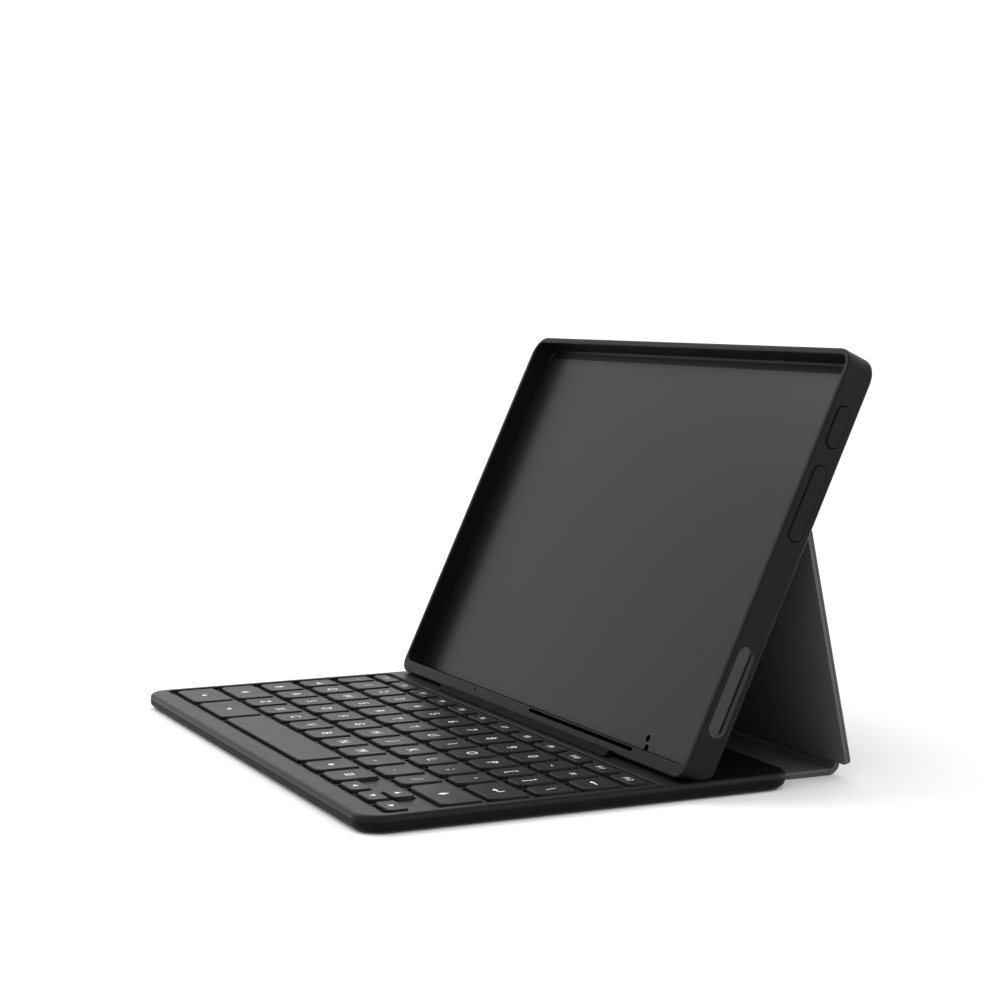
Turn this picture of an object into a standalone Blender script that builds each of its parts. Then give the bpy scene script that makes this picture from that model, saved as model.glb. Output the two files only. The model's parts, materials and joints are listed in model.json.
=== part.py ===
"""Folding keyboard case for a tablet of about ten inches, standing in its typing pose.

X runs to the user's right, Y away from the user and Z up. The origin is under the middle of the whole case,
on the surface that it stands on. All lengths are metres.
"""

import math

import bmesh
import bpy
from mathutils import Vector

MM = 0.001
CENTRE_Y = 97.5 * MM  # from the deck's front edge to the middle of the whole case

# Keyboard deck
DECK_WIDTH = 250.0 * MM
DECK_DEPTH = 162.1 * MM
DECK_TOP = 6.4 * MM
DECK_CORNER = 10.0 * MM
SKIN_INSET = 2.2 * MM
SKIN_TOP = 0.6 * MM
SHELL_BOTTOM = 0.8 * MM
SHELL_FLOOR = 1.4 * MM
SHELL_TOP = 4.3 * MM
SHELL_WALL = 2.0 * MM
FRAME_BOTTOM = 4.6 * MM
WELL_FLOOR = 5.3 * MM

# Keys: rows from front to back, the widths in each row add up to the same key field
FIELD_WIDTH = 240.0 * MM
FIELD_FRONT = 10.1 * MM
PITCH = 17.9 * MM
ROW_PITCH = 17.4 * MM
FRONT_ROW = 19.1 * MM
FUNCTION_ROW = 9.6 * MM
KEY_GAP = 2.6 * MM
ARROW_GAP = 1.2 * MM
KEY_TOP = 6.5 * MM
KEY_BOTTOM = 4.0 * MM
KEY_TAPER = 0.35 * MM
KEY_CORNER = 1.2 * MM
HOLE_MARGIN = 0.4 * MM
CARRIER_BOTTOM = 4.05 * MM
CARRIER_TOP = 4.3 * MM
CARRIER_DEPTH = 6.0 * MM

# Tray: a shell that leans back by TRAY_TILT from lying flat
TRAY_TILT = math.radians(65.07)
TRAY_WIDTH = 250.0 * MM
TRAY_HEIGHT = 161.1 * MM
TRAY_DEPTH = 12.0 * MM
TRAY_WALL = 2.5 * MM
TRAY_LIP = 5.0 * MM  # the lower wall's thickness
TRAY_BACK = 2.8 * MM
TRAY_CORNER = 9.0 * MM
TRAY_LOW_CORNER = 6.0 * MM
TRAY_BACK_ROUND = 1.8 * MM
TRAY_FOOT_Y = 116.15 * MM
TRAY_FOOT_Z = 7.53 * MM
STAND_Z = 6.72 * MM  # the lower wall is flat here, so that it stands on the deck
STAND_ROUND = 8.0 * MM  # from that flat up to the tray's back

# Cover panels: two skins and a board, with a small gap between the layers
PANEL_THICK = 2.4 * MM
SKIN_THICK = 0.5 * MM
LAYER_GAP = 0.3 * MM
FLAP_WIDTH = 236.0 * MM
SPINE_WIDTH = 221.0 * MM
HINGE_CLEAR = 1.6 * MM
PANEL_CORNER = 2.0 * MM

# Fold axes, as (y, z) from the deck's front edge and the table
SPINE_AXIS = (163.4 * MM, 1.3 * MM)
CREASE_AXIS = (189.1 * MM, 3.4 * MM)
FOLD_UP = 99.8 * MM  # from the tray's foot to the fold, along the tray
FOLD_DEPTH = 13.5 * MM  # from the tray's rim to the fold, through the tray

COLOURS = {
    "grey_plastic": ((0.115, 0.117, 0.12), 0.55, 0.0),
    "black_plastic": ((0.022, 0.022, 0.023), 0.5, 0.0),
    "grey_keycap": ((0.125, 0.127, 0.13), 0.5, 0.0),
    "tray_plastic": ((0.03, 0.03, 0.031), 0.55, 0.0),
    "lining_fabric": ((0.055, 0.055, 0.056), 0.85, 0.0),
    "cover_leather": ((0.035, 0.035, 0.036), 0.7, 0.0),
    "steel": ((0.55, 0.56, 0.57), 0.35, 1.0),
    "nickel": ((0.6, 0.59, 0.56), 0.3, 1.0),
    "green_board": ((0.03, 0.12, 0.06), 0.6, 0.0),
    "film": ((0.25, 0.26, 0.27), 0.4, 0.0),
    "white_rubber": ((0.6, 0.6, 0.6), 0.8, 0.0),
    "panel_board": ((0.2, 0.19, 0.17), 0.9, 0.0),
    "battery_foil": ((0.3, 0.31, 0.32), 0.4, 0.0),
}


def clear_scene():
    """Removes every object, so that the case is alone in the file."""
    for old in list(bpy.data.objects):
        bpy.data.objects.remove(old, do_unlink=True)


def new_collection(name):
    """Returns a new collection linked to the scene."""
    made = bpy.data.collections.new(name)
    bpy.context.scene.collection.children.link(made)
    return made


def finish(obj, key):
    """Gives the object a material of its own in one of the case's colours."""
    colour, roughness, metallic = COLOURS[key]
    made = bpy.data.materials.new(obj.name + "_" + key)
    made.use_nodes = True
    shader = made.node_tree.nodes["Principled BSDF"]
    shader.inputs["Base Color"].default_value = (*colour, 1.0)
    shader.inputs["Roughness"].default_value = roughness
    shader.inputs["Metallic"].default_value = metallic
    obj.data.materials.append(made)


def axis_empty(name, y, z, tilt):
    """Adds an empty on a fold axis, turned so that its Y runs up the panel that it carries."""
    empty = bpy.data.objects.new(name, None)
    empty.empty_display_size = 0.01
    empty.location = (0.0, y - CENTRE_Y, z)
    empty.rotation_euler = (tilt, 0.0, 0.0)
    CASE.objects.link(empty)
    return empty


def slab_mesh(
    name, size, corner=0.0, low_corner=None, corner_steps=4, top_edge=0.0, bottom_edge=0.0, edge_steps=1, taper=0.0
):
    """Makes a box about its own centre, with round upright corners and round upper or lower edges.

    The corners at low Y have a radius of their own where low_corner is given.
    """
    bm = bmesh.new()
    bmesh.ops.create_cube(bm, size=1.0)
    bmesh.ops.scale(bm, vec=Vector(size), verts=bm.verts)
    half = size[2] / 2
    for side, radius in ((-1, low_corner or corner), (1, corner)):
        if radius:
            upright = [e for e in bm.edges if abs(e.verts[0].co.z - e.verts[1].co.z) > half]
            upright = [e for e in upright if e.verts[0].co.y * side > 0]
            bmesh.ops.bevel(bm, geom=upright, offset=radius, segments=corner_steps, profile=0.5, affect="EDGES")
    for height, width in ((half, top_edge), (-half, bottom_edge)):
        if width:
            rim = [e for e in bm.edges if all(abs(v.co.z - height) < half * 0.01 for v in e.verts)]
            bmesh.ops.bevel(bm, geom=rim, offset=width, segments=edge_steps, profile=0.5, affect="EDGES")
    if taper:
        for v in bm.verts:
            if v.co.z > 0:
                v.co.x -= math.copysign(taper, v.co.x)
                v.co.y -= math.copysign(taper, v.co.y)
    mesh = bpy.data.meshes.new(name)
    bm.to_mesh(mesh)
    bm.free()
    return mesh


def place(obj, centre, parent, turn=(0.0, 0.0, 0.0)):
    """Puts the object at a point of its parent's frame, or of the deck's frame without a parent."""
    x, y, z = centre
    if parent is None:
        y -= CENTRE_Y
    obj.location = (x, y, z)
    obj.rotation_euler = turn
    obj.parent = parent


def slab(name, low, high, colour, parent=None, **shape):
    """Adds a part that is a box between two corners, with the rounding that slab_mesh takes."""
    size = [b - a for a, b in zip(low, high)]
    obj = bpy.data.objects.new(name, slab_mesh(name, size, **shape))
    CASE.objects.link(obj)
    place(obj, [(a + b) / 2 for a, b in zip(low, high)], parent)
    finish(obj, colour)
    return obj


def hide_tool(tool):
    """Marks a cutter or an added shape as a tool that is not a part of its own."""
    tool.hide_render = True
    tool.display_type = "WIRE"
    TOOLS.objects.link(tool)


def combine(obj, tool, operation):
    """Adds a Boolean modifier that cuts the tool from the object, or joins it on."""
    step = obj.modifiers.new(operation.title() + " " + tool.name, "BOOLEAN")
    step.operation = operation
    step.solver = "EXACT"
    step.object = tool


def slab_tool(name, low, high, parent=None, turn=(0.0, 0.0, 0.0), **shape):
    """Makes a tool that is a box between two corners. With a turn, the sizes are those before turning."""
    size = [b - a for a, b in zip(low, high)]
    tool = bpy.data.objects.new(name, slab_mesh(name, size, **shape))
    place(tool, [(a + b) / 2 for a, b in zip(low, high)], parent, turn)
    hide_tool(tool)
    return tool


def join_meshes(name, pieces):
    """Puts several (mesh, centre) pairs into one mesh in the deck's frame."""
    bm = bmesh.new()
    for mesh, centre in pieces:
        start = len(bm.verts)
        bm.from_mesh(mesh)
        bm.verts.ensure_lookup_table()
        moved = [bm.verts[i] for i in range(start, len(bm.verts))]
        bmesh.ops.translate(bm, verts=moved, vec=Vector(centre))
    joined = bpy.data.meshes.new(name)
    bm.to_mesh(joined)
    bm.free()
    return joined


# Key layout


def row_lines():
    """Returns the line between each two rows, from the front of the front row to the back of the last."""
    lines = [FIELD_FRONT, FIELD_FRONT + FRONT_ROW]
    for _ in range(4):
        lines.append(lines[-1] + ROW_PITCH)
    lines.append(lines[-1] + FUNCTION_ROW)
    return lines


def key_rows():
    """Returns for each row, from the front, its keys as (name, width). Keys with one name share a carrier."""
    end = 15.0 * MM
    rows = [
        [("left_corner_key", 31.0 * MM), ("left_of_space_key", 35.4 * MM), ("space_bar", 5 * PITCH)],
        [("left_shift_key", 31.0 * MM)] + [("shift_row_keys", PITCH)] * 9 + [("shift_row_keys", end)],
        [("caps_key", 20.0 * MM)] + [("home_row_keys", PITCH)] * 10 + [("home_row_keys", end)],
        [("tab_key", 16.0 * MM)] + [("upper_row_keys", PITCH)] * 10 + [("upper_row_keys", end)] * 2,
        [("accent_key", 13.0 * MM)] + [("number_row_keys", PITCH)] * 10 + [("number_row_keys", end)] * 2,
        [("function_key_%02d" % n, FIELD_WIDTH / 12) for n in range(1, 12)],
    ]
    rows[0] += [("right_of_space_key", PITCH), ("menu_key", PITCH)]
    arrow = (FIELD_WIDTH - sum(width for _, width in rows[0])) / 3
    rows[0] += [("left_arrow_key", arrow), ("up_arrow_key", arrow)]
    last = ["right_arrow_key", "right_shift_key", "enter_key", "slash_key", "backspace_key", "function_key_12"]
    for row, name in zip(rows, last):
        row.append((name, FIELD_WIDTH - sum(width for _, width in row)))
    return rows


def key_cells():
    """Returns every key as (name, low x, high x, low y, high y), the outline of its cap's foot."""
    lines = row_lines()
    cells = []
    for number, row in enumerate(key_rows()):
        front = lines[number] + KEY_GAP / 2
        back = lines[number + 1] - KEY_GAP / 2
        middle = (front + back) / 2
        left = -FIELD_WIDTH / 2
        for name, width in row:
            low_x = left + KEY_GAP / 2
            high_x = left + width - KEY_GAP / 2
            left += width
            if name == "up_arrow_key":
                cells.append((name, low_x, high_x, middle + ARROW_GAP / 2, back))
                cells.append(("down_arrow_key", low_x, high_x, front, middle - ARROW_GAP / 2))
            elif name.endswith("arrow_key"):
                cells.append((name, low_x, high_x, front, middle - ARROW_GAP / 2))
            else:
                cells.append((name, low_x, high_x, front, back))
    return cells


def build_keys(cells):
    """Adds the key caps. Caps that share a name stand on one carrier bar under the frame's web."""
    groups = {}
    for name, *outline in cells:
        groups.setdefault(name, []).append(outline)
    height = KEY_TOP - KEY_BOTTOM
    for name, outlines in groups.items():
        caps = []
        for low_x, high_x, low_y, high_y in outlines:
            size = (high_x - low_x, high_y - low_y, height)
            cap = slab_mesh(name, size, corner=KEY_CORNER, corner_steps=2, taper=KEY_TAPER)
            caps.append((cap, ((low_x + high_x) / 2, (low_y + high_y) / 2, KEY_BOTTOM + height / 2)))
        if len(caps) == 1:
            key = bpy.data.objects.new(name, caps[0][0])
            place(key, caps[0][1], None)
            CASE.objects.link(key)
            finish(key, "grey_keycap")
            continue
        middle_y = caps[0][1][1]
        low = (caps[0][1][0], middle_y - CARRIER_DEPTH / 2, CARRIER_BOTTOM)
        high = (caps[-1][1][0], middle_y + CARRIER_DEPTH / 2, CARRIER_TOP)
        carrier = slab(name, low, high, "grey_keycap")
        row = bpy.data.objects.new(name + "_caps", join_meshes(name + "_caps", caps))
        place(row, (0.0, 0.0, 0.0), None)
        hide_tool(row)
        combine(carrier, row, "UNION")


# Keyboard deck


def build_deck(cells):
    """Adds the deck's shells, what they hold, and the bar that the tray stands behind."""
    half = DECK_WIDTH / 2
    slab(
        "deck_outer_skin",
        (-half + SKIN_INSET, SKIN_INSET, 0.0),
        (half - SKIN_INSET, DECK_DEPTH - SKIN_INSET, SKIN_TOP),
        "cover_leather",
        corner=DECK_CORNER - SKIN_INSET,
    )
    shell = slab(
        "deck_bottom_shell",
        (-half, 0.0, SHELL_BOTTOM),
        (half, DECK_DEPTH, SHELL_TOP),
        "black_plastic",
        corner=DECK_CORNER,
        bottom_edge=1.5 * MM,
        edge_steps=2,
    )
    room = slab_tool(
        "shell_room",
        (-half + SHELL_WALL, SHELL_WALL, SHELL_FLOOR),
        (half - SHELL_WALL, DECK_DEPTH - SHELL_WALL, DECK_TOP),
        corner=DECK_CORNER - SHELL_WALL,
    )
    combine(shell, room, "DIFFERENCE")
    frame = slab(
        "keyboard_top_frame",
        (-half, 0.0, FRAME_BOTTOM),
        (half, DECK_DEPTH, DECK_TOP),
        "grey_plastic",
        corner=DECK_CORNER,
        top_edge=1.1 * MM,
        edge_steps=2,
    )
    lines = row_lines()
    well_half = (FIELD_WIDTH + KEY_GAP) / 2
    well = slab_tool(
        "key_well",
        (-well_half, lines[0] - KEY_GAP / 2, WELL_FLOOR),
        (well_half, lines[-1] + KEY_GAP / 2, DECK_TOP + 1 * MM),
        corner=1.5 * MM,
        corner_steps=2,
    )
    combine(frame, well, "DIFFERENCE")
    holes = []
    for _, low_x, high_x, low_y, high_y in cells:
        size = (high_x - low_x + 2 * HOLE_MARGIN, high_y - low_y + 2 * HOLE_MARGIN, 3 * MM)
        holes.append((slab_mesh("hole", size), ((low_x + high_x) / 2, (low_y + high_y) / 2, WELL_FLOOR)))
    hole_tool = bpy.data.objects.new("key_holes", join_meshes("key_holes", holes))
    place(hole_tool, (0.0, 0.0, 0.0), None)
    hide_tool(hole_tool)
    combine(frame, hole_tool, "DIFFERENCE")
    build_layers()
    build_power(shell)
    build_dock_bar()


def build_layers():
    """Adds the plate, the circuit sheet and the dome sheet that lie under the keys."""
    layers = (
        ("key_support_plate", 1.65 * MM, 1.95 * MM, "steel"),
        ("key_circuit_sheet", 2.2 * MM, 2.35 * MM, "film"),
        ("key_dome_sheet", 2.6 * MM, 2.85 * MM, "white_rubber"),
    )
    half = FIELD_WIDTH / 2
    for name, bottom, top, colour in layers:
        slab(name, (-half, 8.0 * MM, bottom), (half, 110.5 * MM, top), colour, corner=2 * MM, corner_steps=2)


def build_power(shell):
    """Adds the battery, the control board, the magnets and the charging socket in the left wall."""
    low, high = 1.65 * MM, 4.1 * MM
    slab("keyboard_battery", (-70 * MM, 126 * MM, low), (50 * MM, 154 * MM, high), "battery_foil", corner=2 * MM)
    slab("control_board", (60 * MM, 126 * MM, low), (112 * MM, 154 * MM, low + 1 * MM), "green_board")
    for side, name in ((-1, "dock_magnet_left"), (1, "dock_magnet_right")):
        middle = side * 42 * MM
        slab(name, (middle - 22 * MM, 113 * MM, low), (middle + 22 * MM, 121 * MM, high), "nickel")
    half = DECK_WIDTH / 2
    socket_y = 140 * MM
    wide, deep = 9.0 * MM, 7.0 * MM
    socket = slab(
        "charge_socket",
        (-half + 0.4 * MM, socket_y - wide / 2, low),
        (-half + deep, socket_y + wide / 2, high),
        "steel",
    )
    gap = 0.3 * MM
    window = slab_tool(
        "socket_window",
        (-half - 1 * MM, socket_y - wide / 2 - gap, low - gap),
        (-half + SHELL_WALL + 1 * MM, socket_y + wide / 2 + gap, DECK_TOP),
    )
    combine(shell, window, "DIFFERENCE")
    mouth = slab_tool(
        "socket_mouth",
        (-half - 1 * MM, socket_y - wide / 2 + 0.6 * MM, low + 0.6 * MM),
        (-half + deep - 1 * MM, socket_y + wide / 2 - 0.6 * MM, high - 0.6 * MM),
    )
    combine(socket, mouth, "DIFFERENCE")


def build_dock_bar():
    """Adds the bar on the deck: a low ridge in front of the tray's lower edge."""
    base = DECK_TOP + 0.3 * MM
    back = TRAY_FOOT_Y - 0.45 * MM
    outline = [
        (back - 3.0 * MM, base),
        (back - 1.2 * MM, base + 1.7 * MM),
        (back - 0.8 * MM, base + 2.0 * MM),
        (back - 0.1 * MM, base + 2.0 * MM),
        (back, base + 1.9 * MM),
        (back, base),
    ]
    curve = bpy.data.curves.new("dock_bar", "CURVE")
    curve.dimensions = "2D"
    curve.fill_mode = "BOTH"
    curve.extrude = 75.0 * MM
    line = curve.splines.new("POLY")
    line.points.add(len(outline) - 1)
    for point, (y, z) in zip(line.points, outline):
        point.co = (y, z, 0.0, 1.0)
    line.use_cyclic_u = True
    bar = bpy.data.objects.new("dock_bar", curve)
    CASE.objects.link(bar)
    place(bar, (0.0, 0.0, 0.0), None, turn=(math.pi / 2, 0.0, math.pi / 2))
    finish(bar, "black_plastic")


# Cover panels


def build_panel(prefix, axis, width, length, corner_at_end):
    """Adds a cover panel's outer skin, board and inner skin, running from one fold axis to the next."""
    half = width / 2
    start, end = HINGE_CLEAR, length - HINGE_CLEAR
    board = PANEL_THICK / 2 - SKIN_THICK - LAYER_GAP
    layers = (
        ("outer_skin", -PANEL_THICK / 2, -PANEL_THICK / 2 + SKIN_THICK, "cover_leather", 0.0),
        ("board", -board, board, "panel_board", 1.5 * MM),
        ("inner_skin", PANEL_THICK / 2 - SKIN_THICK, PANEL_THICK / 2, "cover_leather", 0.0),
    )
    for name, low, high, colour, inset in layers:
        slab(
            prefix + "_" + name,
            (-half + inset, start + inset, low),
            (half - inset, end - inset, high),
            colour,
            parent=axis,
            corner=corner_at_end - inset,
            corner_steps=3,
        )


def build_cover(spine_axis, crease_axis, flap_length):
    """Adds the spine strip behind the deck and the flap that props the tray."""
    spine_length = CREASE_AXIS[0] - SPINE_AXIS[0] - 0.7 * MM
    build_panel("spine", spine_axis, SPINE_WIDTH, spine_length, 3.0 * MM)
    build_panel("flap", crease_axis, FLAP_WIDTH, flap_length, PANEL_CORNER)


# Tray


def pill(name, tray, across, up, depth, thick, length, width, corner_steps=4, grow=0.0):
    """Makes a mesh object's placement for a pill in the tray's right wall: its long axis runs up the tray."""
    size = (width + 2 * grow, length + 2 * grow, thick)
    mesh = slab_mesh(name, size, corner=(width / 2 + grow) * 0.97, corner_steps=corner_steps)
    obj = bpy.data.objects.new(name, mesh)
    place(obj, (across, up - FOLD_UP, FOLD_DEPTH - depth), tray, turn=(0.0, math.pi / 2, 0.0))
    return obj


def build_button(name, tray, shell, up, depth, length, width):
    """Adds a button cover in the right wall: a pill through the wall with a flange behind it."""
    wall_out = TRAY_WIDTH / 2
    wall_in = wall_out - TRAY_WALL
    proud = 0.5 * MM
    window = pill(name + "_window", tray, wall_out - TRAY_WALL / 2, up, depth, 6 * MM, length, width, grow=0.3 * MM)
    hide_tool(window)
    combine(shell, window, "DIFFERENCE")
    low, high = wall_in - 0.6 * MM, wall_out + proud
    cover = pill(name, tray, (low + high) / 2, up, depth, high - low, length, width)
    CASE.objects.link(cover)
    finish(cover, "tray_plastic")
    flange = pill(name + "_flange", tray, wall_in - 0.7 * MM, up, depth, 0.7 * MM, length, width, grow=0.6 * MM)
    hide_tool(flange)
    combine(cover, flange, "UNION")


def stand_tool(half):
    """Makes the tool that leaves the lower wall flat underneath, and round from there up to the back."""
    tilt = TRAY_TILT
    drop = TRAY_FOOT_Z - TRAY_DEPTH * math.cos(tilt)
    corner_y = TRAY_FOOT_Y + TRAY_DEPTH * math.sin(tilt) + (STAND_Z - drop) / math.tan(tilt)
    middle_y = corner_y - STAND_ROUND * math.tan(tilt / 2)
    arc = [(105 * MM, STAND_Z)]
    for step in range(9):
        turn = tilt * step / 8
        arc.append((middle_y + STAND_ROUND * math.sin(turn), STAND_Z + STAND_ROUND * (1 - math.cos(turn))))
    outline = [*arc, (145 * MM, arc[-1][1]), (145 * MM, -5 * MM), (105 * MM, -5 * MM)]
    bm = bmesh.new()
    ends = [[bm.verts.new((x, y, z)) for y, z in outline] for x in (-half, half)]
    bm.faces.new(ends[0])
    bm.faces.new(reversed(ends[1]))
    for number in range(len(outline)):
        bm.faces.new((ends[0][number], ends[0][number - 1], ends[1][number - 1], ends[1][number]))
    bmesh.ops.recalc_face_normals(bm, faces=bm.faces)
    mesh = bpy.data.meshes.new("stand_cut")
    bm.to_mesh(mesh)
    bm.free()
    tool = bpy.data.objects.new("stand_cut", mesh)
    place(tool, (0.0, 0.0, 0.0), None)
    hide_tool(tool)
    return tool


def build_tray(tray):
    """Adds the tray shell with its openings, the lining, the steel strip, the buttons and the upper rear panel."""
    half = TRAY_WIDTH / 2
    foot = -FOLD_UP
    rim = FOLD_DEPTH
    shell = slab(
        "tray_shell",
        (-half, foot, rim - TRAY_DEPTH),
        (half, foot + TRAY_HEIGHT, rim),
        "tray_plastic",
        parent=tray,
        corner=TRAY_CORNER,
        low_corner=TRAY_LOW_CORNER,
        corner_steps=5,
        top_edge=0.5 * MM,
        bottom_edge=TRAY_BACK_ROUND,
        edge_steps=3,
    )
    floor = rim - TRAY_DEPTH + TRAY_BACK
    room = slab_tool(
        "tray_room",
        (-half + TRAY_WALL, foot + TRAY_LIP, floor),
        (half - TRAY_WALL, foot + TRAY_HEIGHT - TRAY_WALL, rim + 5 * MM),
        parent=tray,
        corner=4.5 * MM,
        low_corner=3.5 * MM,
        corner_steps=5,
    )
    combine(shell, room, "DIFFERENCE")
    combine(shell, stand_tool(half + 5 * MM), "DIFFERENCE")
    port = pill("port_window", tray, half - TRAY_WALL / 2, 34.4 * MM, 6.0 * MM, 8 * MM, 33.8 * MM, 7.6 * MM, 5)
    hide_tool(port)
    combine(shell, port, "DIFFERENCE")
    build_lining(tray, shell, foot, floor)
    build_strip(shell)
    build_button("power_button_cover", tray, shell, 133.4 * MM, 5.6 * MM, 15.3 * MM, 5.4 * MM)
    build_button("volume_button_cover", tray, shell, 104.7 * MM, 5.6 * MM, 28.1 * MM, 5.4 * MM)
    build_upper_panel(tray)


def build_lining(tray, shell, foot, floor):
    """Adds the lining, and cuts the slot and the holes at the tray's lower edge."""
    side = TRAY_WIDTH / 2 - TRAY_WALL - 1.5 * MM
    low_y, high_y = foot + TRAY_LIP + 0.4 * MM, foot + TRAY_HEIGHT - TRAY_WALL - 4.0 * MM
    lining = slab(
        "tray_lining",
        (-side, low_y, floor + 0.3 * MM),
        (side, high_y, floor + 0.8 * MM),
        "lining_fabric",
        parent=tray,
        corner=4 * MM,
        corner_steps=3,
    )
    rim = floor + TRAY_DEPTH - TRAY_BACK
    openings = (
        ("lip_slot", 3.0 * MM, 87.0 * MM, foot + 3.1 * MM, foot + 4.5 * MM, rim - 4.5 * MM),
        ("lip_hole", -48.5 * MM, -47.1 * MM, foot + 3.1 * MM, foot + 4.5 * MM, rim - 4.5 * MM),
        ("low_hole", 80.2 * MM, 83.0 * MM, foot + 5.3 * MM, foot + 7.7 * MM, floor - 5 * MM),
        ("high_hole", 78.9 * MM, 81.7 * MM, foot + 8.6 * MM, foot + 11.2 * MM, floor - 5 * MM),
    )
    for name, low_x, high_x, low, high, under in openings:
        corner = (high - low) * 0.49
        tool = slab_tool(name, (low_x, low, under), (high_x, high, rim + 1 * MM), tray, corner=corner, corner_steps=3)
        combine(shell, tool, "DIFFERENCE")
        if under < floor:
            combine(lining, tool, "DIFFERENCE")


def build_strip(shell):
    """Adds the steel strip in the flat underside of the lower wall, above the deck's magnets."""
    half = 60 * MM
    front, back = 117.6 * MM, 123.6 * MM
    low, high = STAND_Z + 0.3 * MM, STAND_Z + 0.9 * MM
    gap = 0.3 * MM
    slab("tray_steel_strip", (-half, front, low), (half, back, high), "steel")
    recess = slab_tool("strip_recess", (-half - gap, front - gap, 0.0), (half + gap, back + gap, high + gap))
    combine(shell, recess, "DIFFERENCE")


def build_upper_panel(tray):
    """Adds the upper rear panel's board and skin, bonded to the tray above the fold."""
    half = FLAP_WIDTH / 2
    top = TRAY_HEIGHT - FOLD_UP - 3.0 * MM
    skin = (-half, HINGE_CLEAR, -PANEL_THICK / 2), (half, top, -PANEL_THICK / 2 + SKIN_THICK)
    slab("upper_rear_skin", *skin, "cover_leather", parent=tray, corner=PANEL_CORNER, corner_steps=3)
    inset = 1.5 * MM
    slab(
        "upper_rear_board",
        (-half + inset, HINGE_CLEAR + inset, -PANEL_THICK / 2 + SKIN_THICK + LAYER_GAP),
        (half - inset, top - inset, PANEL_THICK / 2),
        "panel_board",
        parent=tray,
        corner=PANEL_CORNER - inset,
        corner_steps=3,
    )


def main():
    """Builds the whole case in its typing pose."""
    cells = key_cells()
    build_deck(cells)
    build_keys(cells)
    fold_y = TRAY_FOOT_Y + FOLD_UP * math.cos(TRAY_TILT) + FOLD_DEPTH * math.sin(TRAY_TILT)
    fold_z = TRAY_FOOT_Z + FOLD_UP * math.sin(TRAY_TILT) - FOLD_DEPTH * math.cos(TRAY_TILT)
    rise, run = fold_z - CREASE_AXIS[1], fold_y - CREASE_AXIS[0]
    spine_axis = axis_empty("spine_fold_axis", *SPINE_AXIS, 0.0)
    crease_axis = axis_empty("flap_crease_axis", *CREASE_AXIS, math.atan2(rise, run))
    tray_axis = axis_empty("tray_fold_axis", fold_y, fold_z, TRAY_TILT)
    build_cover(spine_axis, crease_axis, math.hypot(rise, run))
    build_tray(tray_axis)


clear_scene()
CASE = new_collection("tablet_keyboard_case")
TOOLS = new_collection("tools")
main()
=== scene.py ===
"""The folding tablet keyboard case in its finished look.

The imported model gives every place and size. This script makes the smooth moulded shells, the key caps with
their printed signs, the cover's skins and folds, and a finish for every part, and it sets up a pale studio.
All lengths are metres, and a length written as a number of millimetres is multiplied by MM.
"""

from __future__ import annotations

import json
import logging
import math
from collections.abc import Sequence
from dataclasses import dataclass, field, replace
from enum import Enum
from typing import Any

import bpy
import numpy as np
from mathutils import Matrix, Vector

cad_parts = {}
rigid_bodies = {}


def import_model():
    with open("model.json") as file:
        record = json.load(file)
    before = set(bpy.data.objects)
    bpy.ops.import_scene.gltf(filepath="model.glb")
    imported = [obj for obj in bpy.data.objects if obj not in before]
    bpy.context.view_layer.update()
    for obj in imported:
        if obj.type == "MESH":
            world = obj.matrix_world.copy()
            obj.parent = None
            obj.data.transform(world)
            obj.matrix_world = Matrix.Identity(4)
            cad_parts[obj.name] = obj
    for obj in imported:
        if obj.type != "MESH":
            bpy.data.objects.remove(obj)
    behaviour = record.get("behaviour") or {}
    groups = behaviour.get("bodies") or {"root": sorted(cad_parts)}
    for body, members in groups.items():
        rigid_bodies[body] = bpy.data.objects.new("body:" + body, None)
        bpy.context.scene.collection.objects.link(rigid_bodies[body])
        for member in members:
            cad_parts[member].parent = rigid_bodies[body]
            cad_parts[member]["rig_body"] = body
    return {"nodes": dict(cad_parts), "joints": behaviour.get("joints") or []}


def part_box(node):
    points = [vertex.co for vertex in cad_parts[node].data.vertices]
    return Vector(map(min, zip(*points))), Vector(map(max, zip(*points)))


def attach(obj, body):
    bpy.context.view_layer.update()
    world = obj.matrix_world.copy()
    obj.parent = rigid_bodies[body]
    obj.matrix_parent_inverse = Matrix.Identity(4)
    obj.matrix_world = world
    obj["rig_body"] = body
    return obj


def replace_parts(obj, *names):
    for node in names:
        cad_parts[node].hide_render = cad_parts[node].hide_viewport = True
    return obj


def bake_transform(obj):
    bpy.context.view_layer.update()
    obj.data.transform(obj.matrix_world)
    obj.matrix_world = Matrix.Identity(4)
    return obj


MM = 0.001
CRISP = 0.02 * MM
SHARP = 35.0
SOFT_SHARP = 50.0
LOG = logging.getLogger("keyboard_case")


# Finishes


class Texture(Enum):
    """How a finish's surface is textured, seen close."""

    FINE = "fine moulded texture"
    LEATHER = "pressed leather grain"
    FELT = "short felted fibres"
    BRUSHED = "lines left by rolling"
    PLAIN = "smooth"


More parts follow.
